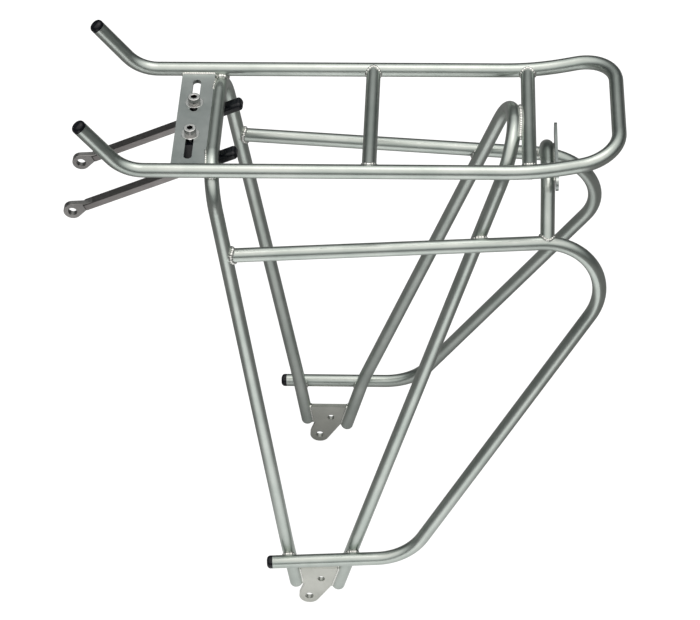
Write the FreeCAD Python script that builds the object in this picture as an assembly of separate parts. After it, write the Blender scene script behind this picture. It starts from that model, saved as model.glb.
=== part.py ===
"""Bicycle rear rack: welded tube frame with two adjustable seat-stay arms.

Frame: +X points to the rear of the bicycle, +Y to its right side, +Z up.
Origin: midway between the two lower dropout holes. All lengths are millimetres.
"""
import FreeCAD, Part
import math
import os

from FreeCAD import Vector

# ---------------------------------------------------------------- tube stock
TUBE_D = 10.0
TUBE_WALL = 0.7
WELD_BITE = 0.05            # how far crossing tubes press into each other

# ---------------------------------------------------------------- top rail loop
RAIL_Y = 55.5               # half distance between the rail axes
RAIL_Z = 403.5              # height of the rail axes above the dropout holes
PRONG_BEND_X = -113.6
PRONG_TIP_X = -139.9
PRONG_RISE = 36.1
PRONG_BEND_R = 26.0
MIDDLE_CROSS_X = 52.4
REAR_CROSS_X = 160.8
KICK_BACK = 5.0             # rear cross tube to where the rails begin to rise
KICK_R = 185.0
LOOP_RUN = 55.5             # length of the risen end, along X
LOOP_RISE = 12.6
LOOP_CORNER_R = 27.0

# ---------------------------------------------------------------- hoops (legs)
FRONT_HOOP_X = -55.6
FRONT_HOOP_DROP = 3.4       # hoop axis below the rail axes
FRONT_HOOP_R = 29.0
FRONT_FOOT_X = -9.6
FRONT_FOOT_Z = 16.5
REAR_HOOP_R = 35.0
REAR_HALF_FLAT = 1.0        # half width of the straight piece at the crown
REAR_ANKLE_X = 37.6
REAR_FOOT_X = 22.8
REAR_FOOT_Z = 12.2
FOOT_Y = 86.4               # middle of the dropout plates
FOOT_STAGGER = 0.8          # front legs stand this much outside FOOT_Y, rear legs inside
FOOT_BEND_Z = 64.0          # below this height the legs stand parallel
FOOT_BEND_R = 90.0
FOOT_DOME = 4.2             # height of the closed, rounded leg end
FOOT_DOME_LAND = 0.4        # straight band below the dome

# ---------------------------------------------------------------- lower rails
LOW_FRONT_DROP = 68.3       # below the top rails, where the rail meets the front leg
LOW_REAR_DROP = 70.5        # below the top rails, at the upper rear bend
LOW_REAR_BACK = 83.5        # rear cross tube to the upper rear bend
LOW_REAR_R = 42.0
LOW_HEEL_X = 76.6           # lower bend
LOW_HEEL_Z = 53.2
LOW_HEEL_R = 42.0
LOW_TOE_X = -25.7           # open front end, closed by a cap
LOW_TOE_Z = 49.8

# ---------------------------------------------------------------- rear bridge and light bracket
BRIDGE_BACK = 14.1          # rear cross tube to the bridge
BRIDGE_DROP = 36.0          # below the top rails, at the bridge's crown
BRIDGE_SHOULDER_Y = 18.0
BRIDGE_R = 28.0
LIGHT_W = 68.0
LIGHT_H = 11.0
LIGHT_T = 2.0
LIGHT_RISE = 4.0            # bracket's middle above the axis of the bridge's crown
LIGHT_HOLE_D = 5.5
LIGHT_HOLE_PITCH = 50.0

# ---------------------------------------------------------------- slotted plate
PLATE_LENGTH = 27.0         # front edge to the front hoop's axis
PLATE_TUCK = 1.2            # rear edge inside the hoop's width
PLATE_T = 3.0
SLOT_SETBACK = 16.0         # slots to the front hoop's axis
SLOT_Y = 25.5
SLOT_LENGTH = 35.0
SLOT_CLEAR = 0.3            # each side of the clamp bolt

# ---------------------------------------------------------------- dropout plates
DROPOUT_T = 4.0
DROPOUT_TOP_Z = 32.0
LOBE_R = 7.8
AXLE_HOLE_D = 6.6
UPPER_HOLE_D = 5.6
UPPER_HOLE_X = 9.8
UPPER_HOLE_Z = 20.1
FRONT_NOTCH_X = -3.0
FRONT_NOTCH_Z = 14.4
REAR_NOTCH_X = 17.2
REAR_NOTCH_Z = 11.9

# ---------------------------------------------------------------- end caps
CAP_HEAD = 4.4
CAP_EDGE = 2.8
PLUG_LENGTH = 11.0
PLUG_CLEAR = 0.05

# ---------------------------------------------------------------- stay clamp
BOLT_Y = 17.0
BOLT_D = 5.0
BOLT_HEAD_D = 8.5
BOLT_HEAD_H = 5.0
BOLT_HEAD_EDGE = 0.4
BOLT_LENGTH = 18.0
SOCKET_AF = 4.0
SOCKET_DEPTH = 2.8
WASHER_D = 12.5
WASHER_T = 1.0
WASHER_CLEAR = 0.15         # radial, washer on the bolt
NUT_AF = 8.0
NUT_T = 4.0
NUT_SEAT = 1.5              # block left under the moulded-in nut
FIT_CLEAR = 0.05            # radial running clearance of turning fits
SLIDE_CLEAR = 0.10          # gap beside flat sliding faces
CLAMP_HALF_X = 8.0
CLAMP_INNER = 7.0           # pad inboard of the bolt
CLAMP_OUTER = 8.0           # pad outboard of the bolt
CLAMP_WALL = 5.0            # block beyond the arm's axis on the outer side
CLAMP_FLOOR = 1.2           # block under the barrel
CLAMP_WEB = 3.2             # upright wall between the boss and the barrel
JAW_TOP = 6.5               # depth of block above the jaws
CLAMP_BOSS = 11.5           # depth of the bolt boss under the plate
JAW_HALF_X = 5.0
BARREL_D = 9.6
BARREL_LENGTH = 9.8
BARREL_DROP = 18.9          # barrel axis below the slotted plate
BARREL_BACK = 0.5           # gap between the barrel and the block's inner wall

# ---------------------------------------------------------------- seat-stay arms
STAY_OFFSET = 9.5           # arm outboard of the clamp bolt
STAY_W = 7.5
STAY_H = 4.5
STAY_SLOPE = 24.55          # degrees, falling towards the front
STAY_REACH = 94.9           # barrel axis to eyelet hole
STAY_TAIL = 35.6            # barrel axis to the end of the cap
EYE_D = 12.6
EYE_HOLE_D = 6.4
FORK_WALL = 1.5             # each side of the eyelet's tongue
EYE_NECK = 9.6              # eyelet hole to the end of the bar
EYE_TONGUE = 17.0           # eyelet hole to the end of the tongue let into the bar
FORK_CHAMFER = 1.3          # chamfer on each fork prong, less than its thickness
STAY_CAP_LENGTH = 16.0
STAY_CAP_SIDE = 1.25        # wall beside the arm
STAY_CAP_SKIN = 1.05        # wall above and below the arm
STAY_CAP_WALL = 3.2         # thickness of the closed end
STAY_CAP_LAND = 0.7         # flat left between the rounded edges
STAY_TILT_DOWN = 1.0        # degrees the arm may steepen
STAY_TILT_UP = 22.0         # degrees the arm may level out

TUBE_R = TUBE_D / 2
BORE_R = TUBE_R - TUBE_WALL
KICK_X = REAR_CROSS_X + KICK_BACK
LOOP_X = KICK_X + LOOP_RUN
FRONT_FOOT_Y = FOOT_Y + FOOT_STAGGER
REAR_FOOT_Y = FOOT_Y - FOOT_STAGGER
LOW_FRONT_Z = RAIL_Z - LOW_FRONT_DROP
LOW_REAR_X = REAR_CROSS_X + LOW_REAR_BACK
LOW_REAR_Z = RAIL_Z - LOW_REAR_DROP
BRIDGE_X = REAR_CROSS_X + BRIDGE_BACK
BRIDGE_TOP_Z = RAIL_Z - BRIDGE_DROP
SLOT_X = FRONT_HOOP_X - SLOT_SETBACK
SLOT_W = BOLT_D + 2 * SLOT_CLEAR
STAY_Y = BOLT_Y + STAY_OFFSET
EYE_T = STAY_W - 2 * FORK_WALL
STAY_CAP_W = STAY_W + 2 * STAY_CAP_SIDE
STAY_CAP_H = STAY_H + 2 * STAY_CAP_SKIN
STAY_CAP_ROUND = STAY_CAP_H / 2 - STAY_CAP_LAND
NEAR = 1e-6                 # tolerance for picking edges
UP = Vector(0, 0, 1)
SIDEWAYS = Vector(0, 1, 0)


# ================================================================ helpers
def box(x0, x1, y0, y1, z0, z1):
    return Part.makeBox(x1 - x0, y1 - y0, z1 - z0, Vector(x0, y0, z0))


def cylinder(radius, start, axis, length):
    return Part.makeCylinder(radius, length, start, axis)


def route(points, radii):
    """Wire of straight runs joined by tangent arcs; one radius per inner point."""
    edges = []
    start = points[0]
    for before, corner, after, radius in zip(points, points[1:], points[2:], radii):
        back = (before - corner).normalize()
        ahead = (after - corner).normalize()
        half = back.getAngle(ahead) / 2
        reach = radius / math.tan(half)
        enter = corner + back * reach
        leave = corner + ahead * reach
        bisector = (back + ahead).normalize()
        middle = corner + bisector * (radius / math.sin(half) - radius)
        edges.append(Part.LineSegment(start, enter).toShape())
        edges.append(Part.Arc(enter, middle, leave).toShape())
        start = leave
    edges.append(Part.LineSegment(start, points[-1]).toShape())
    return Part.Wire(edges)


def ring_face(centre, axis, outer, inner=0.0):
    face = Part.Face(Part.Wire(Part.makeCircle(outer, centre, axis)))
    if inner:
        face = face.cut(Part.Face(Part.Wire(Part.makeCircle(inner, centre, axis))))
        face = face.Faces[0]
    return face


def tube(points, radii, solid=False):
    """Round tube along a route; solid=True gives the filled envelope for cutting."""
    profile = ring_face(points[0], points[1] - points[0], TUBE_R, 0.0 if solid else BORE_R)
    return route(points, radii).makePipe(profile).Solids[0]


def turned(profile, start, direction):
    """Solid of revolution. The profile's x is the radius and its z runs along direction."""
    solid = profile.revolve(Vector(0, 0, 0), UP, 360)
    solid.Placement = FreeCAD.Placement(start, FreeCAD.Rotation(UP, direction))
    return solid


def prism(outline, depth):
    """Extrude a closed list of points by a vector."""
    return Part.Face(Part.makePolygon(outline + outline[:1])).extrude(depth)


def mirrored(shape):
    return shape.mirror(Vector(0, 0, 0), SIDEWAYS)


def flip(point):
    return Vector(point.x, -point.y, point.z)


def tangent_point(outside, centre, radius, side):
    """Point where a line from outside touches a circle in the XZ plane; side is +1 or -1."""
    gap = outside - centre
    along = math.atan2(gap.z, gap.x) + side * math.acos(radius / gap.Length)
    return centre + Vector(math.cos(along), 0, math.sin(along)) * radius


def arch_shoulder(centre_y, centre_z, radius, foot_y, foot_z):
    """Outer corner, in Y and Z, of an arch whose leg runs tangent to its arc down to a foot."""
    gap_y = foot_y - centre_y
    gap_z = foot_z - centre_z
    to_foot = math.atan2(gap_z, gap_y)
    touch = to_foot + math.acos(radius / math.hypot(gap_y, gap_z))
    return centre_y + radius * math.tan((math.pi / 2 - touch) / 2)


def offset_axis(point, leg, rail, gap):
    """Shift a point on a leg's axis outwards so that a rail through it just clears the leg."""
    normal = leg.cross(rail).normalize()
    if normal.y < 0:
        normal = normal * -1
    return point + normal * gap


def at_x(start, end, x):
    return start + (end - start) * ((x - start.x) / (end.x - start.x))


def on_leg(upper, lower, z):
    return upper + (lower - upper) * ((upper.z - z) / (upper.z - lower.z))


# ================================================================ skeleton (right side)
CONTACT = TUBE_D - WELD_BITE

# Front hoop: its corner arc nestles under and inside the top rail.
front_top_z = RAIL_Z - FRONT_HOOP_DROP
front_arc_z = front_top_z - FRONT_HOOP_R
front_arc_y = RAIL_Y - math.sqrt((FRONT_HOOP_R + CONTACT) ** 2 - (RAIL_Z - front_arc_z) ** 2)
front_corner_y = arch_shoulder(front_arc_y, front_arc_z, FRONT_HOOP_R, FRONT_FOOT_Y, FOOT_BEND_Z)


def front_leg_x(z):
    drop = (front_top_z - z) / (front_top_z - FRONT_FOOT_Z)
    return FRONT_HOOP_X + (FRONT_FOOT_X - FRONT_HOOP_X) * drop


FRONT_CORNER = Vector(FRONT_HOOP_X, front_corner_y, front_top_z)
FRONT_ANKLE = Vector(front_leg_x(FOOT_BEND_Z), FRONT_FOOT_Y, FOOT_BEND_Z)
FRONT_FOOT = Vector(FRONT_FOOT_X, FRONT_FOOT_Y, FRONT_FOOT_Z)

# Rear hoop: its crown leans against the front of the rear cross tube.
rear_crown_x = REAR_CROSS_X - CONTACT
rear_corner_y = arch_shoulder(REAR_HALF_FLAT, RAIL_Z - REAR_HOOP_R, REAR_HOOP_R, REAR_FOOT_Y, FOOT_BEND_Z)
REAR_CORNER = Vector(rear_crown_x, rear_corner_y, RAIL_Z)
REAR_ANKLE = Vector(REAR_ANKLE_X, REAR_FOOT_Y, FOOT_BEND_Z)
REAR_FOOT = Vector(REAR_FOOT_X, REAR_FOOT_Y, REAR_FOOT_Z)

# Lower rail: starts on the front leg, passes outside the rear leg, then outside both ankles.
LOW_START = on_leg(FRONT_CORNER, FRONT_ANKLE, LOW_FRONT_Z)
upper_run = Vector(1, 0, (LOW_REAR_Z - LOW_FRONT_Z) / (LOW_REAR_X - LOW_START.x))
lower_run = Vector(1, 0, (LOW_HEEL_Z - LOW_TOE_Z) / (LOW_HEEL_X - LOW_TOE_X))
SETTLE_ROUNDS = 4


def lower_rail_points():
    """The runs' slopes and their contact points depend on each other, so both settle in a few rounds."""
    above = upper_run
    below = lower_run
    for _ in range(SETTLE_ROUNDS):
        crossing = offset_axis(on_leg(REAR_CORNER, REAR_ANKLE, LOW_FRONT_Z), REAR_ANKLE - REAR_CORNER,
                               above, CONTACT)
        rear_bend = at_x(LOW_START, crossing, LOW_REAR_X)
        rear_bend.z = LOW_REAR_Z
        front_touch = offset_axis(on_leg(FRONT_ANKLE, FRONT_FOOT, LOW_TOE_Z), FRONT_FOOT - FRONT_ANKLE,
                                  below, CONTACT)
        rear_touch = offset_axis(on_leg(REAR_ANKLE, REAR_FOOT, LOW_HEEL_Z), REAR_FOOT - REAR_ANKLE,
                                 below, CONTACT)
        heel = at_x(front_touch, rear_touch, LOW_HEEL_X)
        heel.z = LOW_HEEL_Z
        toe = at_x(front_touch, rear_touch, LOW_TOE_X)
        toe.z = LOW_TOE_Z
        above = rear_bend - LOW_START
        below = heel - toe
    return [LOW_START, rear_bend, heel, toe]


LOW_POINTS = lower_rail_points()
LOW_RADII = [LOW_REAR_R, LOW_HEEL_R]

TOP_POINTS = [
    Vector(PRONG_TIP_X, RAIL_Y, RAIL_Z + PRONG_RISE),
    Vector(PRONG_BEND_X, RAIL_Y, RAIL_Z),
    Vector(KICK_X, RAIL_Y, RAIL_Z),
    Vector(LOOP_X, RAIL_Y, RAIL_Z + LOOP_RISE),
]
TOP_RADII = [PRONG_BEND_R, KICK_R, LOOP_CORNER_R]


# ================================================================ frame tubes
def both_halves(points, radii):
    """Continue a right-hand route across the middle plane to its left-hand mirror."""
    return points + [flip(point) for point in reversed(points)], radii + radii[::-1]


def top_rail_loop(solid=False):
    return tube(*both_halves(TOP_POINTS, TOP_RADII), solid=solid)


def front_hoop(solid=False):
    points = [FRONT_FOOT, FRONT_ANKLE, FRONT_CORNER]
    return tube(*both_halves(points, [FOOT_BEND_R, FRONT_HOOP_R]), solid=solid)


def rear_hoop(solid=False):
    points = [REAR_FOOT, REAR_ANKLE, REAR_CORNER]
    return tube(*both_halves(points, [FOOT_BEND_R, REAR_HOOP_R]), solid=solid)


def lower_rail(solid=False):
    return tube(LOW_POINTS, LOW_RADII, solid=solid)


def largest(shape):
    return max(shape.Solids, key=lambda part: part.Volume)


def cross_tube(x, rails):
    ends = [Vector(x, -RAIL_Y, RAIL_Z), Vector(x, RAIL_Y, RAIL_Z)]
    return largest(tube(ends, []).cut(rails))


def bridge_points():
    foot = at_x(LOW_POINTS[0], LOW_POINTS[1], BRIDGE_X)
    shoulder = Vector(BRIDGE_X, BRIDGE_SHOULDER_Y, BRIDGE_TOP_Z)
    return both_halves([foot, shoulder], [BRIDGE_R])


def rear_bridge(low_rail):
    both_rails = low_rail.fuse(mirrored(low_rail))
    return largest(tube(*bridge_points()).cut(both_rails))


# ================================================================ plates
def rounded_bar(length, width, start_z, height):
    """Slot-shaped prism lying along Y, centred on the origin in X and Y."""
    half = length / 2 - width / 2
    body = box(-width / 2, width / 2, -half, half, start_z, start_z + height)
    for end in (-half, half):
        body = body.fuse(cylinder(width / 2, Vector(0, end, start_z), UP, height))
    return body.removeSplitter()


def slotted_plate(rails, hoop):
    front_x = FRONT_HOOP_X - PLATE_LENGTH
    rear_x = FRONT_HOOP_X - TUBE_R + PLATE_TUCK
    plate = box(front_x, rear_x, -RAIL_Y, RAIL_Y, RAIL_Z - PLATE_T, RAIL_Z)
    plate = plate.cut(rails).cut(hoop)
    for side in (-1, 1):
        slot = rounded_bar(SLOT_LENGTH, SLOT_W, RAIL_Z - 2 * PLATE_T, 3 * PLATE_T)
        slot.translate(Vector(SLOT_X, side * SLOT_Y, 0))
        plate = plate.cut(slot)
    return largest(plate)


def light_bracket(bridge):
    strip = rounded_bar(LIGHT_W, LIGHT_H, 0, LIGHT_T)
    for side in (-1, 1):
        place = Vector(0, side * LIGHT_HOLE_PITCH / 2, 0)
        strip = strip.cut(cylinder(LIGHT_HOLE_D / 2, place, UP, LIGHT_T))
    strip.rotate(Vector(0, 0, 0), SIDEWAYS, 90)
    strip.translate(Vector(BRIDGE_X + TUBE_R - WELD_BITE, 0, BRIDGE_TOP_Z + LIGHT_RISE))
    return largest(strip.cut(bridge))


def dropout_plate(legs):
    """Hanger between the two legs, with a lobe round the lower hole."""
    inner_y = FOOT_Y - DROPOUT_T / 2
    depth = SIDEWAYS * DROPOUT_T
    lobe_centre = Vector(0, inner_y, 0)
    front_notch = Vector(FRONT_NOTCH_X, inner_y, FRONT_NOTCH_Z)
    rear_notch = Vector(REAR_NOTCH_X, inner_y, REAR_NOTCH_Z)
    outline = [
        on_leg(FRONT_ANKLE, FRONT_FOOT, DROPOUT_TOP_Z),
        on_leg(FRONT_ANKLE, FRONT_FOOT, FRONT_NOTCH_Z),
        front_notch,
        tangent_point(front_notch, lobe_centre, LOBE_R, 1),
        lobe_centre,
        tangent_point(rear_notch, lobe_centre, LOBE_R, -1),
        rear_notch,
        on_leg(REAR_ANKLE, REAR_FOOT, REAR_NOTCH_Z),
        on_leg(REAR_ANKLE, REAR_FOOT, DROPOUT_TOP_Z),
    ]
    outline = [Vector(point.x, inner_y, point.z) for point in outline]
    plate = prism(outline, depth)
    plate = plate.fuse(cylinder(LOBE_R, lobe_centre, SIDEWAYS, DROPOUT_T))
    plate = plate.cut(cylinder(AXLE_HOLE_D / 2, lobe_centre, SIDEWAYS, DROPOUT_T))
    upper = Vector(UPPER_HOLE_X, inner_y, UPPER_HOLE_Z)
    plate = plate.cut(cylinder(UPPER_HOLE_D / 2, upper, SIDEWAYS, DROPOUT_T))
    for leg in legs:
        plate = plate.cut(leg)
    return largest(plate).removeSplitter()


# ================================================================ caps and closed tube ends
def push_in_plug(tip, direction, head, edge):
    """Plug with a head of the tube's own diameter and a shank that fills the bore."""
    shank = BORE_R - PLUG_CLEAR
    bend = edge * (1 - math.sqrt(0.5))
    points = [Vector(0, 0, -PLUG_LENGTH), Vector(shank, 0, -PLUG_LENGTH), Vector(shank, 0, 0),
              Vector(TUBE_R, 0, 0), Vector(TUBE_R, 0, head - edge)]
    edges = [Part.LineSegment(a, b).toShape() for a, b in zip(points, points[1:])]
    crest = Vector(TUBE_R - edge, 0, head)
    edges.append(Part.Arc(points[-1], Vector(TUBE_R - bend, 0, head - bend), crest).toShape())
    edges.append(Part.LineSegment(crest, Vector(0, 0, head)).toShape())
    edges.append(Part.LineSegment(Vector(0, 0, head), points[0]).toShape())
    return turned(Part.Face(Part.Wire(edges)), tip, direction)


def prong_cap():
    return push_in_plug(TOP_POINTS[0], TOP_POINTS[0] - TOP_POINTS[1], CAP_HEAD, CAP_EDGE)


def toe_cap():
    return push_in_plug(LOW_POINTS[-1], LOW_POINTS[-1] - LOW_POINTS[-2], CAP_HEAD, CAP_EDGE)


def foot_plug(foot, ankle):
    return push_in_plug(foot, foot - ankle, FOOT_DOME, FOOT_DOME - FOOT_DOME_LAND)


# ================================================================ stay clamp (right side)
PLATE_TOP = RAIL_Z
PLATE_UNDER = RAIL_Z - PLATE_T
BOLT_AXIS = Vector(SLOT_X, BOLT_Y, PLATE_TOP)
BARREL_CENTRE = Vector(SLOT_X, STAY_Y, PLATE_UNDER - BARREL_DROP)
barrel_inner_y = STAY_Y - BARREL_LENGTH / 2


def hexagon(across_flats, start, height):
    corner = across_flats / math.sqrt(3)
    outline = []
    for step in range(6):
        angle = math.radians(60 * step + 30)
        outline.append(start + Vector(math.cos(angle), math.sin(angle), 0) * corner)
    return prism(outline, UP * height)


def clamp_washer():
    outer = cylinder(WASHER_D / 2, BOLT_AXIS, UP, WASHER_T)
    return outer.cut(cylinder(BOLT_D / 2 + WASHER_CLEAR, BOLT_AXIS, UP, WASHER_T))


def clamp_bolt():
    seat = BOLT_AXIS + UP * WASHER_T
    head = cylinder(BOLT_HEAD_D / 2, seat, UP, BOLT_HEAD_H)
    rims = [edge for edge in head.Edges if edge.Closed and edge.CenterOfMass.z > seat.z + BOLT_HEAD_H / 2]
    head = head.makeFillet(BOLT_HEAD_EDGE, rims)
    shank = cylinder(BOLT_D / 2, seat - UP * BOLT_LENGTH, UP, BOLT_LENGTH)
    socket = hexagon(SOCKET_AF, seat + UP * (BOLT_HEAD_H - SOCKET_DEPTH), SOCKET_DEPTH)
    return head.fuse(shank).cut(socket).removeSplitter()


def nut_seat():
    return Vector(SLOT_X, BOLT_Y, PLATE_UNDER - CLAMP_BOSS + NUT_SEAT)


def clamp_nut():
    nut = hexagon(NUT_AF, nut_seat(), NUT_T)
    return nut.cut(cylinder(BOLT_D / 2 + FIT_CLEAR, nut_seat(), UP, NUT_T))


def stay_window():
    """Space swept by the arm where it passes between the jaws, over its whole tilt."""
    inner = barrel_inner_y - BARREL_BACK
    reach = 4 * CLAMP_HALF_X
    half = STAY_H / 2 + 2 * SLIDE_CLEAR
    steep = math.radians(STAY_SLOPE + STAY_TILT_DOWN)
    level = math.radians(STAY_SLOPE - STAY_TILT_UP)
    window = None
    for end in (-1, 1):
        low = steep if end < 0 else level
        high = level if end < 0 else steep
        outline = [
            Vector(0, inner, -half / math.cos(low)),
            Vector(end * reach, inner, end * reach * math.tan(low) - half / math.cos(low)),
            Vector(end * reach, inner, end * reach * math.tan(high) + half / math.cos(high)),
            Vector(0, inner, half / math.cos(high)),
        ]
        side = prism(outline, SIDEWAYS * reach)
        window = side if window is None else window.fuse(side)
    window.translate(Vector(BARREL_CENTRE.x, 0, BARREL_CENTRE.z))
    return window


def clamp_block():
    """Moulded block: pad and bolt boss under the plate, two jaws round the barrel."""
    top = PLATE_UNDER - SLIDE_CLEAR
    outer_y = STAY_Y + CLAMP_WALL
    inner = barrel_inner_y - BARREL_BACK
    floor = BARREL_CENTRE.z - BARREL_D / 2 - CLAMP_FLOOR
    boss_floor = PLATE_UNDER - CLAMP_BOSS
    web_y = inner - CLAMP_WEB
    inner_pad_y = BOLT_Y - CLAMP_INNER
    outer_pad_y = BOLT_Y + CLAMP_OUTER
    shoulder = outer_y - outer_pad_y
    outline = [
        (inner_pad_y, top),
        (outer_pad_y, top),
        (outer_y, top - shoulder),
        (outer_y, floor + CLAMP_FLOOR),
        (outer_y - CLAMP_FLOOR, floor),
        (web_y, floor),
        (inner_pad_y, boss_floor),
    ]
    left = SLOT_X - CLAMP_HALF_X
    block = prism([Vector(left, y, z) for y, z in outline], Vector(2 * CLAMP_HALF_X, 0, 0))
    bolt_hole = cylinder(BOLT_D / 2 + FIT_CLEAR, Vector(SLOT_X, BOLT_Y, floor), UP, RAIL_Z - floor)
    pocket = hexagon(NUT_AF + 2 * FIT_CLEAR, nut_seat(), NUT_T + FIT_CLEAR)
    barrel_start = Vector(SLOT_X, inner, BARREL_CENTRE.z)
    barrel_bore = cylinder(BARREL_D / 2 + FIT_CLEAR, barrel_start, SIDEWAYS, 2 * BARREL_LENGTH)
    for cut in (bolt_hole, pocket, barrel_bore, stay_window()):
        block = block.cut(cut)
    for end in (-1, 1):
        near = SLOT_X + end * JAW_HALF_X
        far = SLOT_X + end * 2 * CLAMP_HALF_X
        relief = box(min(near, far), max(near, far), inner, 2 * outer_y, 0, PLATE_UNDER - JAW_TOP)
        block = block.cut(relief)
    return largest(block)


def along_stay(shape):
    """Place a shape drawn level along X, origin at the barrel centre, on the sloping arm."""
    shape.rotate(Vector(0, 0, 0), SIDEWAYS, -STAY_SLOPE)
    shape.translate(BARREL_CENTRE)
    return shape


def swivel_barrel():
    start = Vector(0, -BARREL_LENGTH / 2, 0)
    barrel = cylinder(BARREL_D / 2, start, SIDEWAYS, BARREL_LENGTH)
    half_y = STAY_W / 2 + SLIDE_CLEAR
    half_z = STAY_H / 2 + SLIDE_CLEAR
    passage = box(-BARREL_D, BARREL_D, -half_y, half_y, -half_z, half_z)
    return along_stay(barrel.cut(passage))


def stay_bar():
    """Flat bar; its front end is forked to take the eyelet's tongue."""
    front = EYE_NECK - STAY_REACH
    rear = STAY_TAIL - STAY_CAP_WALL
    bar = box(front, rear, -STAY_W / 2, STAY_W / 2, -STAY_H / 2, STAY_H / 2)
    upright = [edge for edge in bar.Edges if abs(edge.CenterOfMass.x - front) < NEAR and
               abs(edge.CenterOfMass.z) < NEAR]
    bar = bar.makeChamfer(FORK_CHAMFER, upright)
    fork = box(front, EYE_TONGUE - STAY_REACH, -EYE_T / 2, EYE_T / 2, -STAY_H, STAY_H)
    return along_stay(bar.cut(fork))


def stay_eyelet():
    """Ring with a tapering tongue as thick as the fork is wide."""
    centre = Vector(-STAY_REACH, -EYE_T / 2, 0)
    depth = SIDEWAYS * EYE_T
    ring = cylinder(EYE_D / 2, centre, SIDEWAYS, EYE_T)
    end = EYE_TONGUE - STAY_REACH
    root = Vector(EYE_NECK + STAY_H / 2 - STAY_REACH, -EYE_T / 2, 0)
    upper = root + UP * (STAY_H / 2)
    lower = root - UP * (STAY_H / 2)
    outline = [
        centre,
        tangent_point(upper, centre, EYE_D / 2, 1),
        upper,
        Vector(end, -EYE_T / 2, STAY_H / 2),
        Vector(end, -EYE_T / 2, -STAY_H / 2),
        lower,
        tangent_point(lower, centre, EYE_D / 2, -1),
    ]
    eyelet = ring.fuse(prism(outline, depth))
    eyelet = eyelet.cut(cylinder(EYE_HOLE_D / 2, centre, SIDEWAYS, EYE_T))
    return along_stay(largest(eyelet).removeSplitter())


def stay_cap():
    """Cover pushed over the bar's rear end, closed and rounded at the back."""
    start = STAY_TAIL - STAY_CAP_LENGTH
    cap = box(start, STAY_TAIL, -STAY_CAP_W / 2, STAY_CAP_W / 2, -STAY_CAP_H / 2, STAY_CAP_H / 2)
    outer = [edge for edge in cap.Edges if edge.CenterOfMass.x > start + NEAR]
    cap = cap.makeFillet(STAY_CAP_ROUND, outer)
    pocket = box(start, STAY_TAIL - STAY_CAP_WALL, -STAY_W / 2, STAY_W / 2, -STAY_H / 2, STAY_H / 2)
    return along_stay(cap.cut(pocket))


# ================================================================ assembly
def build():
    rails = top_rail_loop(solid=True)
    hoop_front = front_hoop(solid=True)
    hoop_rear = rear_hoop(solid=True)
    bridge = rear_bridge(lower_rail(solid=True))
    front_plug = foot_plug(FRONT_FOOT, FRONT_ANKLE)
    rear_plug = foot_plug(REAR_FOOT, REAR_ANKLE)
    centre = {
        "top_rail_loop": top_rail_loop(),
        "front_hoop": front_hoop(),
        "rear_hoop": rear_hoop(),
        "middle_cross_tube": cross_tube(MIDDLE_CROSS_X, rails),
        "rear_cross_tube": cross_tube(REAR_CROSS_X, rails),
        "slotted_plate": slotted_plate(rails, hoop_front),
        "rear_bridge_tube": bridge,
        "light_bracket": light_bracket(bridge),
    }
    paired = {
        "lower_rail": largest(lower_rail().cut(hoop_front)),
        "dropout_plate": dropout_plate([hoop_front, hoop_rear, front_plug, rear_plug]),
        "prong_cap": prong_cap(),
        "lower_rail_cap": toe_cap(),
        "front_leg_plug": front_plug,
        "rear_leg_plug": rear_plug,
        "clamp_bolt": clamp_bolt(),
        "clamp_washer": clamp_washer(),
        "clamp_block": clamp_block(),
        "clamp_nut": clamp_nut(),
        "swivel_barrel": swivel_barrel(),
        "stay_bar": stay_bar(),
        "stay_eyelet": stay_eyelet(),
        "stay_end_cap": stay_cap(),
    }
    nodes = dict(centre)
    for name, shape in paired.items():
        nodes["right_" + name] = shape
        nodes["left_" + name] = mirrored(shape)
    return nodes


os.makedirs("parts", exist_ok=True)
for node_name, node_shape in build().items():
    if not node_shape.isValid():
        raise RuntimeError(node_name + " is not a valid shape")
    node_shape.exportStep("parts/" + node_name + ".step")
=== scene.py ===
"""Looks for the bicycle rear rack: satin metal tubes, weld beads, clamps, caps. Metres, +Z up."""

import math
import random

import bmesh
import bpy
from mathutils import Euler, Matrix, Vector, kdtree
from mathutils.bvhtree import BVHTree


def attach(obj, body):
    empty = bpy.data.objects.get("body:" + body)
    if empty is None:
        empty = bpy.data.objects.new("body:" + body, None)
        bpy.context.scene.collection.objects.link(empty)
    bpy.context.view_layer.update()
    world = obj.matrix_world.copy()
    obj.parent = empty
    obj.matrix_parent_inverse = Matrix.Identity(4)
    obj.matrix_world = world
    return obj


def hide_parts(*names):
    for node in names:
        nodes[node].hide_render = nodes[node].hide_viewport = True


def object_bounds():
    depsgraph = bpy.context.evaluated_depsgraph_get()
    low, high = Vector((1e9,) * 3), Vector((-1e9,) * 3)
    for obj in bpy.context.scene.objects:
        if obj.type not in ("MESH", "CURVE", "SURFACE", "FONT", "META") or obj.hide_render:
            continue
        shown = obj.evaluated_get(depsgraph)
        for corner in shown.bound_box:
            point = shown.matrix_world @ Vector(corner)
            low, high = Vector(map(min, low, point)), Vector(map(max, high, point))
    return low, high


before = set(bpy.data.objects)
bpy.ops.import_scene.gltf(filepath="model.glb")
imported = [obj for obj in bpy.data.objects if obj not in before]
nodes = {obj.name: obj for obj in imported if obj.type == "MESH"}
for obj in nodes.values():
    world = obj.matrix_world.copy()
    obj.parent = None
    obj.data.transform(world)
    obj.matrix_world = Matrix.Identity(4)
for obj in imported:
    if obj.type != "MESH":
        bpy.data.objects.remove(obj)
cad_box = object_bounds()
SIDES = ("left_", "right_")
MM = 0.001
SHARP_ANGLE = math.radians(35)
FLAT_ANGLE = math.radians(0.5)
MERGE_DISTANCE = 0.002 * MM

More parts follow.
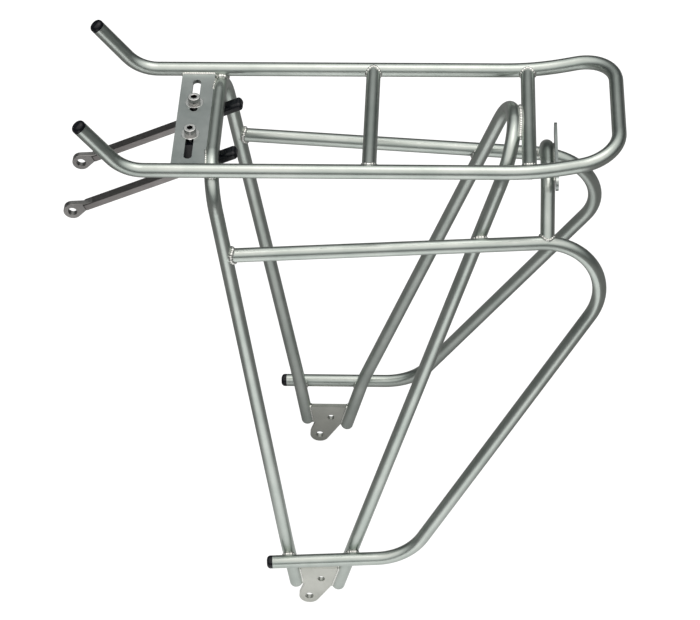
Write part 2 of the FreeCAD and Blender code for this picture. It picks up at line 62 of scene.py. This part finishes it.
# ---------------------------------------------------------------- sizes
BEAD_RADIUS = 1.15 * MM
BEAD_GAP = 0.55 * MM            # gap between two surfaces where their bead lies
SIDE_BEAD_RADIUS = 1.7 * MM     # beads between tubes that touch side by side
SIDE_BEAD_GAP = 1.5 * MM
BEAD_STEP = 0.35 * MM
BEAD_PITCH = 1.7 * MM           # length of one ripple
BEAD_SIDES = 10
BEAD_TIP = 0.15                 # share of its section that an open bead keeps at its end
PLATE_BEAD_RADIUS = 0.9 * MM
BRACKET_BEAD_RADIUS = 0.8 * MM
RIPPLE_BASE = 0.82              # shares of the bead's radius
RIPPLE_RISE = 0.26
RIPPLE_WOBBLE = 0.03
STITCH_INNER_Y = 33.0 * MM      # plate-to-hoop welds run outwards from here

SEAM_MESH = 1.2 * MM            # longest triangle side near a seam
SEAM_JOIN = 0.12 * MM           # gap over which two short lines join
SEAM_SHORTEST = 6 * MM
SEAM_APART = 4 * MM             # lines with middles closer than this are one seam
SEAM_CLOSED = 1.0 * MM
SEAM_SMOOTHING = 6
SEAM_FEWEST_POINTS = 8

SOCKET_DEPTH = 3.6 * MM         # below the bolt's top
SOCKET_LIP = 0.1 * MM
SOCKET_REACH = 2.6 * MM         # from the bolt's axis to outside the hexagon
EDGE_SEGMENTS = 3               # of each rounded edge

# Noise scales per metre, and the depth that a bump stands for.
CLOUD_SCALE = 38.0
PIT_SCALE = 900.0
PIT_DEPTH = 0.0001
GRAIN_SCALE = 2600.0
GRAIN_DEPTH = 0.00006
SMEAR_SCALE = 260.0
SCRATCH_SCALE = 1500.0
SCRATCH_STRETCH = (1, 1, 9)
SCRATCH_DEPTH = 0.00004
MOTTLE_SCALE = 120.0
MOTTLE_DEPTH = 0.0002
MOULD_SCALE = 1900.0
MOULD_DEPTH = 0.00005
PAPER_SCALE = 60.0
BRUSHED_ALONG_X = (0.12, 1, 1)
ROLLED_ALONG_Y = (1, 0.35, 1)
KNURLED_ALONG_Z = (1, 1, 0.2)

FLOOR_SIZE = 8.0
FLOOR_GLOW = 0.93               # how bright the paper itself looks
POOL_BRIGHT = 1.05              # light that the near paper throws onto the object
POOL_DIM = 0.03                 # and the far paper
POOL_INNER = 0.75
POOL_OUTER = 1.12
POOL_SCALE = (2.8, 1.0, 1.0)    # the lit patch is long and narrow
POOL_SHIFT = (0.0, 1.0, 0.0)    # from its middle, in front, to the floor's middle
# Height on the dome and brightness there.
SKY_LEVELS = ((0.0, 0.04), (0.22, 0.07), (0.40, 0.20), (0.56, 0.68), (0.66, 1.05), (1.0, 1.30))
SKY_LEAN = -0.2                 # the light reaches lower in front than behind
SKY_LOW_TINT = (0.86, 1.0, 1.0)     # cool at the horizon
SKY_TINT_RISE = (0.18, -0.02, -0.04)    # warmer overhead
OVERHEAD_OFFSET = Vector((0.2, 0.1, 1.8))
OVERHEAD_SIZE = 1.0
OVERHEAD_POWER = 4
OVERHEAD_COLOUR = (1.0, 0.98, 0.95)

CAMERA_PLACE = (0.11560, -1.36085, 1.51550)
CAMERA_TURN = (46.488, 1.349, 2.177)
CAMERA_LENS = 130.6             # on the default 36 mm sensor


# ================================================================ materials
def new_material(name):
    material = bpy.data.materials.new(name)
    material.use_nodes = True
    tree = material.node_tree
    return material, tree, tree.nodes["Principled BSDF"]


def add_node(tree, kind, **values):
    node = tree.nodes.new(kind)
    for key, value in values.items():
        if key in node.inputs:
            node.inputs[key].default_value = value
        else:
            setattr(node, key, value)
    return node


def coordinates(tree, scale=(1, 1, 1)):
    source = add_node(tree, "ShaderNodeTexCoord")
    mapping = add_node(tree, "ShaderNodeMapping", Scale=scale)
    tree.links.new(source.outputs["Object"], mapping.inputs["Vector"])
    return mapping.outputs["Vector"]


def noise(tree, vector, scale, detail=3.0, roughness=0.55):
    node = add_node(tree, "ShaderNodeTexNoise", Scale=scale, Detail=detail, Roughness=roughness)
    tree.links.new(vector, node.inputs["Vector"])
    return node.outputs["Fac"]


def remap(tree, value, low, high, start=0.3, end=0.7):
    node = tree.nodes.new("ShaderNodeMapRange")
    node.inputs["From Min"].default_value = start
    node.inputs["From Max"].default_value = end
    node.inputs["To Min"].default_value = low
    node.inputs["To Max"].default_value = high
    tree.links.new(value, node.inputs["Value"])
    return node.outputs["Result"]


def blend_colours(tree, factor, first, second):
    node = add_node(tree, "ShaderNodeMix", data_type="RGBA")
    node.inputs[6].default_value = (*first, 1)
    node.inputs[7].default_value = (*second, 1)
    tree.links.new(factor, node.inputs[0])
    return node.outputs[2]


def bump(tree, shader, layers):
    """Stack bump layers; each is (height, strength, distance)."""
    normal = None
    for height, strength, distance in layers:
        node = add_node(tree, "ShaderNodeBump", Strength=strength, Distance=distance)
        tree.links.new(height, node.inputs["Height"])
        if normal is not None:
            tree.links.new(normal, node.inputs["Normal"])
        normal = node.outputs["Normal"]
    tree.links.new(normal, shader.inputs["Normal"])


def blasted_metal(name, dark, light, roughness, grain=0.04, brush=None):
    """Bead-blasted metal: fine grain, cloudy tone, uneven gloss; brush stretches the grain."""
    material, tree, shader = new_material(name)
    shader.inputs["Metallic"].default_value = 1.0
    where = coordinates(tree, brush or (1, 1, 1))
    cloud = noise(tree, coordinates(tree), CLOUD_SCALE, 4.0)
    fine = noise(tree, where, GRAIN_SCALE, 2.0)
    pits = noise(tree, where, PIT_SCALE, 3.0)
    tone = blend_colours(tree, remap(tree, cloud, 0, 1), dark, light)
    tree.links.new(tone, shader.inputs["Base Color"])
    tree.links.new(remap(tree, pits, roughness[0], roughness[1]), shader.inputs["Roughness"])
    bump(tree, shader, [(fine, grain, GRAIN_DEPTH), (pits, grain * 0.7, PIT_DEPTH)])
    return material


def polished_steel():
    material, tree, shader = new_material("stainless_bright")
    shader.inputs["Metallic"].default_value = 1.0
    where = coordinates(tree)
    smear = noise(tree, where, SMEAR_SCALE, 3.0)
    scratch = noise(tree, coordinates(tree, SCRATCH_STRETCH), SCRATCH_SCALE, 2.0)
    tone = blend_colours(tree, remap(tree, smear, 0, 1), (0.78, 0.78, 0.76), (0.93, 0.92, 0.90))
    tree.links.new(tone, shader.inputs["Base Color"])
    tree.links.new(remap(tree, smear, 0.12, 0.26), shader.inputs["Roughness"])
    bump(tree, shader, [(scratch, 0.12, SCRATCH_DEPTH)])
    return material


def moulded_plastic():
    material, tree, shader = new_material("black_moulded_plastic")
    where = coordinates(tree)
    mottle = noise(tree, where, MOTTLE_SCALE, 3.0)
    grain = add_node(tree, "ShaderNodeTexVoronoi", Scale=MOULD_SCALE)
    tree.links.new(where, grain.inputs["Vector"])
    tone = blend_colours(tree, remap(tree, mottle, 0, 1),
                         (0.002, 0.0025, 0.004), (0.006, 0.007, 0.011))
    tree.links.new(tone, shader.inputs["Base Color"])
    tree.links.new(remap(tree, mottle, 0.20, 0.30), shader.inputs["Roughness"])
    shader.inputs["Specular IOR Level"].default_value = 0.32
    bump(tree, shader, [(grain.outputs["Distance"], 0.18, MOULD_DEPTH),
                        (mottle, 0.1, MOTTLE_DEPTH)])
    return material


def floor_paper():
    """White paper for the camera; it lights the object only from a long patch in front."""
    material, tree, shader = new_material("floor_paper")
    grain = noise(tree, coordinates(tree), PAPER_SCALE, 5.0)
    tone = blend_colours(tree, remap(tree, grain, 0, 1), (0.20, 0.20, 0.20), (0.22, 0.22, 0.22))
    tree.links.new(tone, shader.inputs["Base Color"])
    shader.inputs["Roughness"].default_value = 0.9
    shader.inputs["Specular IOR Level"].default_value = 0.1
    shifted = add_node(tree, "ShaderNodeVectorMath", operation="ADD")
    shifted.inputs[1].default_value = POOL_SHIFT
    tree.links.new(coordinates(tree, POOL_SCALE), shifted.inputs[0])
    reach = add_node(tree, "ShaderNodeVectorMath", operation="LENGTH")
    tree.links.new(shifted.outputs["Vector"], reach.inputs[0])
    thrown = remap(tree, reach.outputs["Value"], POOL_BRIGHT, POOL_DIM, POOL_INNER, POOL_OUTER)
    path = add_node(tree, "ShaderNodeLightPath")
    choose = add_node(tree, "ShaderNodeMix", data_type="FLOAT")
    tree.links.new(path.outputs["Is Camera Ray"], choose.inputs[0])
    tree.links.new(thrown, choose.inputs[2])
    choose.inputs[3].default_value = FLOOR_GLOW
    tree.links.new(choose.outputs[0], shader.inputs["Emission Strength"])
    shader.inputs["Emission Color"].default_value = (1, 1, 1, 1)
    return material


TUBE_METAL = blasted_metal("titanium_satin", (0.44, 0.49, 0.455), (0.55, 0.59, 0.555),
                           (0.29, 0.36))
PLATE_METAL = blasted_metal("titanium_plate", (0.36, 0.40, 0.39), (0.50, 0.535, 0.52),
                            (0.32, 0.44), 0.3, ROLLED_ALONG_Y)
DROPOUT_METAL = blasted_metal("titanium_dropout", (0.50, 0.515, 0.47), (0.66, 0.67, 0.62),
                              (0.34, 0.46), 0.2)
WELD_METAL = blasted_metal("titanium_weld", (0.60, 0.61, 0.58), (0.86, 0.86, 0.82),
                           (0.16, 0.30), 0.8)
STAY_METAL = blasted_metal("stay_steel", (0.20, 0.188, 0.184), (0.27, 0.256, 0.25),
                           (0.28, 0.38), 0.15, BRUSHED_ALONG_X)
EYELET_METAL = blasted_metal("eyelet_steel", (0.24, 0.235, 0.23), (0.38, 0.37, 0.36),
                             (0.26, 0.40), 0.5)
BRIGHT_STEEL = polished_steel()
# Knurled head side: a ribbed bump, with a dark tone that is painted shade on the bolt's sides.
KNURLED_STEEL_PAINTED_SHADE = blasted_metal("stainless_knurled_painted_shade", (0.16, 0.16, 0.155), (0.42, 0.42, 0.41),
                              (0.22, 0.32), 0.9, KNURLED_ALONG_Z)
# Near-black painted shade for the inside of the bolt's hex socket.
SOCKET_PAINTED_SHADE = blasted_metal("socket_shade", (0.015, 0.015, 0.015), (0.05, 0.05, 0.05),
                             (0.4, 0.5), 0.3)
BLACK_PLASTIC = moulded_plastic()


def dress(piece, material):
    piece.data.materials.clear()
    piece.data.materials.append(material)


# ================================================================ meshes from the frame
def clean_copy(node):
    """Welded bmesh copy of a CAD node's mesh."""
    mesh = bmesh.new()
    mesh.from_mesh(nodes[node].data)
    bmesh.ops.remove_doubles(mesh, verts=mesh.verts, dist=MERGE_DISTANCE)
    return mesh


def make_piece(name, mesh, material, body):
    data = bpy.data.meshes.new(name)
    mesh.to_mesh(data)
    mesh.free()
    piece = bpy.data.objects.new(name, data)
    bpy.context.scene.collection.objects.link(piece)
    dress(piece, material)
    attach(piece, body)
    return piece


def softened(node, body, material, width):
    """Copy of a CAD node with its sharp edges rounded, standing for that node."""
    mesh = clean_copy(node)
    bmesh.ops.dissolve_limit(mesh, angle_limit=FLAT_ANGLE, verts=mesh.verts, edges=mesh.edges)
    for face in mesh.faces:
        face.smooth = True
    for edge in mesh.edges:
        edge.smooth = edge.is_manifold and edge.calc_face_angle(0.0) < SHARP_ANGLE
    piece = make_piece("soft_" + node, mesh, material, body)
    rounding = piece.modifiers.new("rounded_edges", "BEVEL")
    rounding.width = width
    rounding.segments = EDGE_SEGMENTS
    rounding.limit_method = "ANGLE"
    rounding.angle_limit = SHARP_ANGLE
    rounding.harden_normals = False
    weighted = piece.modifiers.new("flat_faces", "WEIGHTED_NORMAL")
    weighted.keep_sharp = True
    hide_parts(node)
    return piece


def finish_bolt(piece):
    """Rough side on the head in a darker tone of painted shade, and painted shade in the socket."""
    piece.data.materials.append(KNURLED_STEEL_PAINTED_SHADE)
    piece.data.materials.append(SOCKET_PAINTED_SHADE)
    corners = [vertex.co for vertex in piece.data.vertices]
    top = max(corner.z for corner in corners)
    middle = (Vector(map(min, *corners)) + Vector(map(max, *corners))) / 2
    for face in piece.data.polygons:
        out = face.center - middle
        out.z = 0
        deep = top - SOCKET_DEPTH < face.center.z < top - SOCKET_LIP
        # Faces inside the socket take the painted shade.
        if deep and out.length < SOCKET_REACH:
            face.material_index = 2
        # The head's sides take the knurled steel with its painted shade.
        elif deep and abs(face.normal.z) < 0.5:
            face.material_index = 1


# ================================================================ weld beads
def split_near(triangles, tree, reach, size):
    """Split triangles that lie within reach of a surface until their edges are short."""
    done = []
    stack = list(triangles)
    while stack:
        a, b, c = stack.pop()
        sides = ((b - a).length, (c - b).length, (a - c).length)
        longest = max(sides)
        centre = (a + b + c) / 3
        hit = tree.find_nearest(centre, reach + longest)
        if hit[0] is None:
            continue
        if longest <= size:
            done.append((a, b, c))
            continue
        if sides[1] == longest:
            a, b, c = b, c, a
        elif sides[2] == longest:
            a, b, c = c, a, b
        middle = (a + b) / 2
        stack.append((a, middle, c))
        stack.append((middle, b, c))
    return done


def gap_segments(triangles, tree, gap):
    """Short lines on the triangles where the distance to the surface equals the gap."""
    cache = {}

    def distance(point):
        key = (round(point.x, 7), round(point.y, 7), round(point.z, 7))
        if key not in cache:
            place, normal, _, length = tree.find_nearest(point)
            cache[key] = length if (point - place).dot(normal) > 0 else -length
        return cache[key]

    segments = []
    for corners in triangles:
        values = [distance(corner) - gap for corner in corners]
        crossing = []
        for i in range(3):
            first, second = values[i], values[(i + 1) % 3]
            if (first < 0) != (second < 0):
                crossing.append(corners[i].lerp(corners[(i + 1) % 3], first / (first - second)))
        if len(crossing) == 2:
            segments.append(crossing)
    return segments


def chains(segments, tolerance):
    """Join short lines end to end into polylines."""
    ends = kdtree.KDTree(2 * len(segments))
    for i, (start, end) in enumerate(segments):
        ends.insert(start, 2 * i)
        ends.insert(end, 2 * i + 1)
    ends.balance()
    used = set()
    found = []
    for i in range(len(segments)):
        if i in used:
            continue
        used.add(i)
        line = list(segments[i])
        for grow_front in (False, True):
            while True:
                tip = line[0] if grow_front else line[-1]
                options = [(gap, index) for _, index, gap in ends.find_range(tip, tolerance)
                           if index // 2 not in used]
                if not options:
                    break
                index = min(options)[1]
                used.add(index // 2)
                other = segments[index // 2][1 - index % 2]
                line.insert(0, other) if grow_front else line.append(other)
        found.append(line)
    return found


def line_length(line):
    return sum((b - a).length for a, b in zip(line, line[1:]))


def resample(line, step):
    total = line_length(line)
    count = max(3, round(total / step))
    result = []
    travelled = 0.0
    index = 0
    for k in range(count + 1):
        target = total * k / count
        while index < len(line) - 2 and travelled + (line[index + 1] - line[index]).length < target:
            travelled += (line[index + 1] - line[index]).length
            index += 1
        length = (line[index + 1] - line[index]).length
        share = (target - travelled) / length if length > 1e-9 else 0.0
        result.append(line[index].lerp(line[index + 1], min(max(share, 0.0), 1.0)))
    return result


def smoothed(line, closed, rounds):
    for _ in range(rounds):
        fresh = list(line)
        for i in range(len(line)):
            if not closed and i in (0, len(line) - 1):
                continue
            fresh[i] = (line[i - 1] + line[i] * 2 + line[(i + 1) % len(line)]) / 4
        line = fresh
    return line


def runs_kept(line, keep):
    """Stretches of a closed line whose points pass keep."""
    found = []
    run = []
    for point in line + line[:1]:
        if keep(point):
            run.append(point)
        elif run:
            found.append(run)
            run = []
    if run:
        found.append(run)
    return found


def seam_lines(node, partner, gap, keep):
    """Centre lines of the weld between two nodes: where their surfaces stand one gap apart."""
    other = clean_copy(partner)
    tree = BVHTree.FromBMesh(other)
    other.free()
    mesh = clean_copy(node)
    bmesh.ops.triangulate(mesh, faces=mesh.faces)
    triangles = [[corner.co.copy() for corner in face.verts] for face in mesh.faces]
    mesh.free()
    triangles = split_near(triangles, tree, gap, SEAM_MESH)
    lines = chains(gap_segments(triangles, tree, gap), SEAM_JOIN)
    lines = [line for line in lines if line_length(line) > SEAM_SHORTEST]
    chosen = []
    for line in sorted(lines, key=line_length, reverse=True):
        middle = sum(line, Vector()) / len(line)
        if all((middle - centre).length > SEAM_APART for _, centre in chosen):
            chosen.append((line, middle))
    result = []
    for line, _ in chosen:
        closed = (line[0] - line[-1]).length < SEAM_CLOSED
        points = resample(line, BEAD_STEP)
        if closed:
            points = points[:-1]
        seated = [(point + tree.find_nearest(point)[0]) / 2
                  for point in smoothed(points, closed, SEAM_SMOOTHING)]
        if keep is None:
            result.append((seated, closed))
        else:
            result += [(run, False) for run in runs_kept(seated, keep)]
    return [(line, closed) for line, closed in result if len(line) > SEAM_FEWEST_POINTS]


def add_bead(mesh, line, closed, draw, radius):
    """Rippled round bead swept along a line."""
    count = len(line)
    rings = []
    side = None
    travelled = 0.0
    phase = draw.random()
    for i, point in enumerate(line):
        ahead = line[(i + 1) % count] if closed or i < count - 1 else point
        behind = line[i - 1] if closed or i else point
        along = (ahead - behind).normalized()
        if side is None:
            side = along.orthogonal().normalized()
        side = (side - along * side.dot(along)).normalized()
        up = along.cross(side)
        if i:
            travelled += (point - line[i - 1]).length
        ripple = abs(math.sin(math.pi * (travelled / BEAD_PITCH + phase)))
        wobble = draw.uniform(-RIPPLE_WOBBLE, RIPPLE_WOBBLE)
        size = radius * (RIPPLE_BASE + RIPPLE_RISE * ripple + wobble)
        if not closed:
            edge = min(i, count - 1 - i) * BEAD_STEP
            size *= math.sqrt(min(1.0, BEAD_TIP + edge / radius))
        ring = []
        for k in range(BEAD_SIDES):
            angle = 2 * math.pi * k / BEAD_SIDES
            outward = side * math.cos(angle) + up * math.sin(angle)
            ring.append(mesh.verts.new(point + outward * size))
        rings.append(ring)
    pairs = list(zip(rings, rings[1:]))
    if closed:
        # The last ring meets the first at whatever turn was picked up on the way round.
        last, first = rings[-1], rings[0]
        turn = min(range(BEAD_SIDES), key=lambda k: (first[k].co - last[0].co).length)
        pairs.append((last, first[turn:] + first[:turn]))
    else:
        mesh.faces.new(list(reversed(rings[0])))
        mesh.faces.new(rings[-1])
    for lower, upper in pairs:
        for k in range(BEAD_SIDES):
            n = (k + 1) % BEAD_SIDES
            mesh.faces.new((lower[k], lower[n], upper[n], upper[k]))


def weld(node, partner, radius=BEAD_RADIUS, gap=BEAD_GAP, keep=None):
    """Rippled bead along every seam between two nodes, riding with the frame."""
    draw = random.Random(node + partner)
    mesh = bmesh.new()
    for line, closed in seam_lines(node, partner, gap, keep):
        add_bead(mesh, line, closed, draw, radius)
    bmesh.ops.recalc_face_normals(mesh, faces=mesh.faces)
    for face in mesh.faces:
        face.smooth = True
    return make_piece("weld_" + node + "_" + partner, mesh, WELD_METAL, "root")


def outside_stitch(point):
    return abs(point.y) > STITCH_INNER_Y


weld("middle_cross_tube", "top_rail_loop")
weld("rear_cross_tube", "top_rail_loop")
weld("slotted_plate", "top_rail_loop", PLATE_BEAD_RADIUS)
weld("slotted_plate", "front_hoop", PLATE_BEAD_RADIUS, keep=outside_stitch)
weld("front_hoop", "top_rail_loop", SIDE_BEAD_RADIUS, SIDE_BEAD_GAP)
weld("rear_hoop", "rear_cross_tube", SIDE_BEAD_RADIUS, SIDE_BEAD_GAP)
weld("light_bracket", "rear_bridge_tube", BRACKET_BEAD_RADIUS)
for side in SIDES:
    weld(side + "lower_rail", "front_hoop", SIDE_BEAD_RADIUS, SIDE_BEAD_GAP)
    weld(side + "lower_rail", "rear_hoop", SIDE_BEAD_RADIUS, SIDE_BEAD_GAP)
    weld("rear_bridge_tube", side + "lower_rail")
    weld(side + "dropout_plate", "front_hoop", PLATE_BEAD_RADIUS)
    weld(side + "dropout_plate", "rear_hoop", PLATE_BEAD_RADIUS)

# ================================================================ CAD nodes and their finishes
CENTRE_TUBES = ("top_rail_loop", "front_hoop", "rear_hoop", "middle_cross_tube",
                "rear_cross_tube", "rear_bridge_tube")
SIDE_FINISHES = (("lower_rail", TUBE_METAL), ("front_leg_plug", TUBE_METAL),
                 ("rear_leg_plug", TUBE_METAL), ("prong_cap", BLACK_PLASTIC),
                 ("lower_rail_cap", BLACK_PLASTIC), ("clamp_nut", BRIGHT_STEEL),
                 ("swivel_barrel", BLACK_PLASTIC))
# Node and body after the side's name, slot, material, rounding of the edges.
SIDE_SOFTENED = (("clamp_washer", "bolt", "fastener", BRIGHT_STEEL, 0.15 * MM),
                 ("clamp_block", "clamp", "black_plastic", BLACK_PLASTIC, 0.5 * MM),
                 ("stay_bar", "stay", "stay_metal", STAY_METAL, 0.45 * MM),
                 ("stay_eyelet", "stay", "stay_metal", EYELET_METAL, 0.45 * MM),
                 ("stay_end_cap", "stay", "black_plastic", BLACK_PLASTIC, 0.4 * MM))

for name in CENTRE_TUBES:
    dress(nodes[name], TUBE_METAL)
softened("slotted_plate", "root", PLATE_METAL, 0.35 * MM)
softened("light_bracket", "root", PLATE_METAL, 0.3 * MM)
for side in SIDES:
    for name, material in SIDE_FINISHES:
        dress(nodes[side + name], material)
    softened(side + "dropout_plate", "root", DROPOUT_METAL, 0.4 * MM)
    finish_bolt(softened(side + "clamp_bolt", side + "bolt", BRIGHT_STEEL, 0.25 * MM))
    for name, body, slot, material, width in SIDE_SOFTENED:
        softened(side + name, side + body, material, width)


# ================================================================ stage, light and camera
def floor():
    centre = (cad_box[0] + cad_box[1]) / 2
    mesh = bmesh.new()
    bmesh.ops.create_grid(mesh, x_segments=4, y_segments=4, size=FLOOR_SIZE)
    data = bpy.data.meshes.new("floor")
    mesh.to_mesh(data)
    mesh.free()
    piece = bpy.data.objects.new("floor", data)
    piece.location = (centre.x, centre.y, cad_box[0].z)
    bpy.context.scene.collection.objects.link(piece)
    dress(piece, floor_paper())


def softbox(name, place, aim, width, height, power, colour):
    light = bpy.data.lights.new(name, "AREA")
    light.shape = "RECTANGLE"
    light.size = width
    light.size_y = height
    light.energy = power
    light.color = colour
    lamp = bpy.data.objects.new(name, light)
    lamp.location = place
    lamp.rotation_euler = (Vector(aim) - Vector(place)).to_track_quat("-Z", "Y").to_euler()
    bpy.context.scene.collection.objects.link(lamp)


def studio_dome():
    """Soft light from above that fades to a dim wall round the horizon."""
    world = bpy.data.worlds.new("studio")
    world.use_nodes = True
    bpy.context.scene.world = world
    tree = world.node_tree
    source = tree.nodes.new("ShaderNodeTexCoord")
    split = tree.nodes.new("ShaderNodeSeparateXYZ")
    ramp = tree.nodes.new("ShaderNodeValToRGB")
    tree.links.new(source.outputs["Generated"], split.inputs[0])
    lean = add_node(tree, "ShaderNodeMath", operation="MULTIPLY_ADD")
    lean.inputs[1].default_value = SKY_LEAN
    tree.links.new(split.outputs["Y"], lean.inputs[0])
    tree.links.new(split.outputs["Z"], lean.inputs[2])
    tree.links.new(lean.outputs["Value"], ramp.inputs["Fac"])
    tree.links.new(ramp.outputs["Color"], tree.nodes["Background"].inputs["Color"])
    stops = ramp.color_ramp.elements
    while len(stops) < len(SKY_LEVELS):
        stops.new(1.0)
    for stop, (height, level) in zip(stops, SKY_LEVELS):
        stop.position = height
        tint = (low + rise * height for low, rise in zip(SKY_LOW_TINT, SKY_TINT_RISE))
        stop.color = (*(level * share for share in tint), 1)


def studio():
    centre = (cad_box[0] + cad_box[1]) / 2
    studio_dome()
    softbox("overhead", centre + OVERHEAD_OFFSET, centre, OVERHEAD_SIZE, OVERHEAD_SIZE,
            OVERHEAD_POWER, OVERHEAD_COLOUR)


def camera():
    data = bpy.data.cameras.new("camera")
    data.lens = CAMERA_LENS
    viewer = bpy.data.objects.new("camera", data)
    viewer.location = CAMERA_PLACE
    viewer.rotation_euler = Euler([math.radians(turn) for turn in CAMERA_TURN])
    bpy.context.scene.collection.objects.link(viewer)
    bpy.context.scene.camera = viewer


floor()
studio()
camera()
bpy.context.scene.view_settings.view_transform = "Standard"
